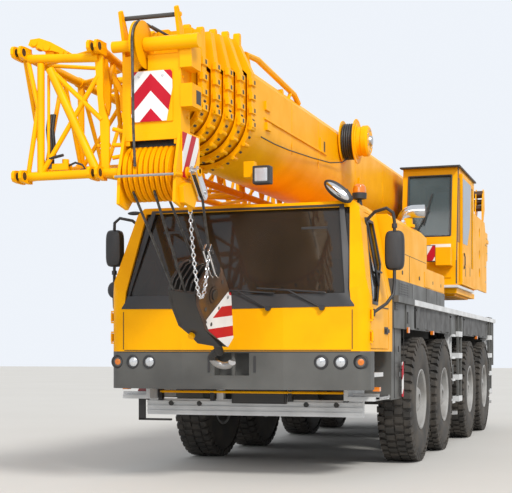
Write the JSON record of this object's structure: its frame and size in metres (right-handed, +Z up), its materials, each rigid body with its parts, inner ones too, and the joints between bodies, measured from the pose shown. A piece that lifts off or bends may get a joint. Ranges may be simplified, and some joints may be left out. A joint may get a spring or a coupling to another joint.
{
  "type": "mobile crane",
  "caption": "Yellow and grey all-terrain mobile crane with a telescopic boom parked over the cab, a lattice jib stowed beside it and a hook block hung at the front.",
  "frame": {"origin": "on the ground under the middle of the crane's bounding box", "axes": "+X to the crane's left, +Y to its rear, so that it drives towards -Y, +Z up"},
  "size_m": [3.02, 12.2537, 3.888],
  "materials": {
    "yellow": "gloss",
    "grey": "satin",
    "dark_grey": "satin",
    "black_metal": "satin",
    "black_plastic": "matte",
    "tyre": "matte",
    "rim": "satin",
    "steel": "satin",
    "chrome": "polished",
    "glass": "gloss",
    "rubber": "matte"
  },
  "bodies": {
    "carrier": {"chassis": "dark_grey", "cab_shell": "yellow", "windscreen": "glass", "cab_interior": "black_plastic", "front_bumper": "grey", "deck": "grey", "hood": "yellow", "engine": "dark_grey", "steps": "steel", "outrigger_boxes": "grey", "axles": "dark_grey", "ring_and_posts": "dark_grey"},
    "door_left": {"door_left": "yellow", "mirror_left": "black_plastic"},
    "door_right": {"door_right": "yellow", "mirror_right": "black_plastic"},
    "knuckle_one_left": {"knuckle_one_left": "dark_grey"},
    "knuckle_one_right": {"knuckle_one_right": "dark_grey"},
    "knuckle_two_left": {"knuckle_two_left": "dark_grey"},
    "knuckle_two_right": {"knuckle_two_right": "dark_grey"},
    "wheel_one_left": {"wheel_one_left": "tyre"},
    "wheel_one_right": {"wheel_one_right": "tyre"},
    "wheel_two_left": {"wheel_two_left": "tyre"},
    "wheel_two_right": {"wheel_two_right": "tyre"},
    "wheel_three_left": {"wheel_three_left": "tyre"},
    "wheel_three_right": {"wheel_three_right": "tyre"},
    "wheel_four_left": {"wheel_four_left": "tyre"},
    "wheel_four_right": {"wheel_four_right": "tyre"},
    "outrigger_beam_front_left": {"outrigger_beam_front_left": "grey"},
    "outrigger_jack_front_left": {"outrigger_jack_front_left": "steel"},
    "outrigger_beam_front_right": {"outrigger_beam_front_right": "grey"},
    "outrigger_jack_front_right": {"outrigger_jack_front_right": "steel"},
    "outrigger_beam_rear_left": {"outrigger_beam_rear_left": "grey"},
    "outrigger_jack_rear_left": {"outrigger_jack_rear_left": "steel"},
    "outrigger_beam_rear_right": {"outrigger_beam_rear_right": "grey"},
    "outrigger_jack_rear_right": {"outrigger_jack_rear_right": "steel"},
    "turntable": {"turntable": "yellow", "counterweight": "yellow", "winch": "steel", "side_frame": "yellow", "oil_tank": "yellow", "opcab_shell": "yellow", "opcab_glass": "glass", "opcab_interior": "black_plastic"},
    "opcab_door": {"opcab_door": "yellow"},
    "luff_barrel": {"luff_barrel": "yellow"},
    "luff_rod": {"luff_rod": "chrome"},
    "boom_base": {"boom_base": "yellow", "jib": "yellow", "hose_reel": "yellow"},
    "boom_section_1": {"boom_section_1": "yellow"},
    "boom_section_2": {"boom_section_2": "yellow"},
    "boom_section_3": {"boom_section_3": "yellow"},
    "boom_section_4": {"boom_section_4": "yellow"},
    "boom_section_5": {"boom_section_5": "yellow", "boom_head": "yellow", "head_sheaves": "yellow"},
    "hook_block": {"hook_block": "black_metal"},
    "hook": {"hook": "steel"}
  },
  "joints": [
    {"name": "steer_one_left", "type": "hinge", "parent": "carrier", "child": "knuckle_one_left", "pos_m": [0.985, -1.4, 0.685], "axis": [0, 0, 1], "range_deg": [-32, 32]},
    {"name": "steer_one_right", "type": "hinge", "parent": "carrier", "child": "knuckle_one_right", "pos_m": [-0.985, -1.4, 0.685], "axis": [0, 0, 1], "range_deg": [-32, 32]},
    {"name": "steer_two_left", "type": "hinge", "parent": "carrier", "child": "knuckle_two_left", "pos_m": [0.985, 0.25, 0.685], "axis": [0, 0, 1], "range_deg": [-32, 32]},
    {"name": "steer_two_right", "type": "hinge", "parent": "carrier", "child": "knuckle_two_right", "pos_m": [-0.985, 0.25, 0.685], "axis": [0, 0, 1], "range_deg": [-32, 32]},
    {"name": "roll_one_left", "type": "hinge", "parent": "knuckle_one_left", "child": "wheel_one_left", "pos_m": [1.15, -1.4, 0.685], "axis": [1, 0, 0], "continuous": true},
    {"name": "roll_one_right", "type": "hinge", "parent": "knuckle_one_right", "child": "wheel_one_right", "pos_m": [-1.15, -1.4, 0.685], "axis": [1, 0, 0], "continuous": true},
    {"name": "roll_two_left", "type": "hinge", "parent": "knuckle_two_left", "child": "wheel_two_left", "pos_m": [1.15, 0.25, 0.685], "axis": [1, 0, 0], "continuous": true},
    {"name": "roll_two_right", "type": "hinge", "parent": "knuckle_two_right", "child": "wheel_two_right", "pos_m": [-1.15, 0.25, 0.685], "axis": [1, 0, 0], "continuous": true},
    {"name": "roll_three_left", "type": "hinge", "parent": "carrier", "child": "wheel_three_left", "pos_m": [1.15, 2.6, 0.685], "axis": [1, 0, 0], "continuous": true},
    {"name": "roll_three_right", "type": "hinge", "parent": "carrier", "child": "wheel_three_right", "pos_m": [-1.15, 2.6, 0.685], "axis": [1, 0, 0], "continuous": true},
    {"name": "roll_four_left", "type": "hinge", "parent": "carrier", "child": "wheel_four_left", "pos_m": [1.15, 4.25, 0.685], "axis": [1, 0, 0], "continuous": true},
    {"name": "roll_four_right", "type": "hinge", "parent": "carrier", "child": "wheel_four_right", "pos_m": [-1.15, 4.25, 0.685], "axis": [1, 0, 0], "continuous": true},
    {"name": "door_left_hinge", "type": "hinge", "parent": "carrier", "child": "door_left", "pos_m": [1.296, -3.8, 1.44], "axis": [0, 0, -1], "range_deg": [0, 70]},
    {"name": "door_right_hinge", "type": "hinge", "parent": "carrier", "child": "door_right", "pos_m": [-1.296, -3.8, 1.44], "axis": [0, 0, 1], "range_deg": [0, 70]},
    {"name": "beam_front_left_out", "type": "slide", "parent": "carrier", "child": "outrigger_beam_front_left", "axis": [1, 0, 0], "range_m": [0, 1.65]},
    {"name": "jack_front_left_down", "type": "slide", "parent": "outrigger_beam_front_left", "child": "outrigger_jack_front_left", "axis": [0, 0, -1], "range_m": [0, 0.375]},
    {"name": "beam_front_right_out", "type": "slide", "parent": "carrier", "child": "outrigger_beam_front_right", "axis": [-1, 0, 0], "range_m": [0, 1.65]},
    {"name": "jack_front_right_down", "type": "slide", "parent": "outrigger_beam_front_right", "child": "outrigger_jack_front_right", "axis": [0, 0, -1], "range_m": [0, 0.375]},
    {"name": "beam_rear_left_out", "type": "slide", "parent": "carrier", "child": "outrigger_beam_rear_left", "axis": [1, 0, 0], "range_m": [0, 1.65]},
    {"name": "jack_rear_left_down", "type": "slide", "parent": "outrigger_beam_rear_left", "child": "outrigger_jack_rear_left", "axis": [0, 0, -1], "range_m": [0, 0.375]},
    {"name": "beam_rear_right_out", "type": "slide", "parent": "carrier", "child": "outrigger_beam_rear_right", "axis": [-1, 0, 0], "range_m": [0, 1.65]},
    {"name": "jack_rear_right_down", "type": "slide", "parent": "outrigger_beam_rear_right", "child": "outrigger_jack_rear_right", "axis": [0, 0, -1], "range_m": [0, 0.375]},
    {"name": "slew", "type": "hinge", "parent": "carrier", "child": "turntable", "pos_m": [0, 2.4, 1.8], "axis": [0, 0, 1], "continuous": true},
    {"name": "opcab_door_slide", "type": "slide", "parent": "turntable", "child": "opcab_door", "axis": [0, 1, 0], "range_m": [0, 0.6]},
    {"name": "luff", "type": "hinge", "parent": "turntable", "child": "boom_base", "pos_m": [0, 4.5, 3.25], "axis": [-1, 0, 0], "range_deg": [0, 82]},
    {"name": "luff_barrel_swing", "type": "hinge", "parent": "turntable", "child": "luff_barrel", "pos_m": [0, 2.6, 2.1], "axis": [-1, 0, 0], "range_deg": [0, 86]},
    {"name": "luff_rod_out", "type": "slide", "parent": "luff_barrel", "child": "luff_rod", "axis": [0, -0.9835, 0.1808], "range_m": [0, 2.9]},
    {"name": "telescope_1", "type": "slide", "parent": "boom_base", "child": "boom_section_1", "axis": [0, -0.9999, -0.0122], "range_m": [0, 7.6]},
    {"name": "telescope_2", "type": "slide", "parent": "boom_section_1", "child": "boom_section_2", "axis": [0, -0.9999, -0.0122], "range_m": [0, 7.6]},
    {"name": "telescope_3", "type": "slide", "parent": "boom_section_2", "child": "boom_section_3", "axis": [0, -0.9999, -0.0122], "range_m": [0, 7.6]},
    {"name": "telescope_4", "type": "slide", "parent": "boom_section_3", "child": "boom_section_4", "axis": [0, -0.9999, -0.0122], "range_m": [0, 7.6]},
    {"name": "telescope_5", "type": "slide", "parent": "boom_section_4", "child": "boom_section_5", "axis": [0, -0.9999, -0.0122], "range_m": [0, 7.6]},
    {"name": "hook_hang", "type": "hinge", "parent": "boom_section_5", "child": "hook_block", "pos_m": [0, -5.78968, 2.58824], "axis": [-1, 0, 0], "range_deg": [0, 47]},
    {"name": "hook_turn", "type": "hinge", "parent": "hook_block", "child": "hook", "pos_m": [0, -4.40011, 1.29245], "axis": [0, 0.7314, -0.682], "continuous": true}
  ],
  "couplings": [
    {"joint": "steer_one_right", "follows": "steer_one_left", "ratio": 1},
    {"joint": "steer_two_left", "follows": "steer_one_left", "ratio": 0.78},
    {"joint": "steer_two_right", "follows": "steer_one_left", "ratio": 0.78},
    {"joint": "luff_barrel_swing", "follows": "luff", "ratio": 1.0398},
    {"joint": "luff_rod_out", "follows": "luff", "m_per_rad": 2.0267},
    {"joint": "telescope_2", "follows": "telescope_1", "ratio": 1},
    {"joint": "telescope_3", "follows": "telescope_1", "ratio": 1},
    {"joint": "telescope_4", "follows": "telescope_1", "ratio": 1},
    {"joint": "telescope_5", "follows": "telescope_1", "ratio": 1}
  ]
}
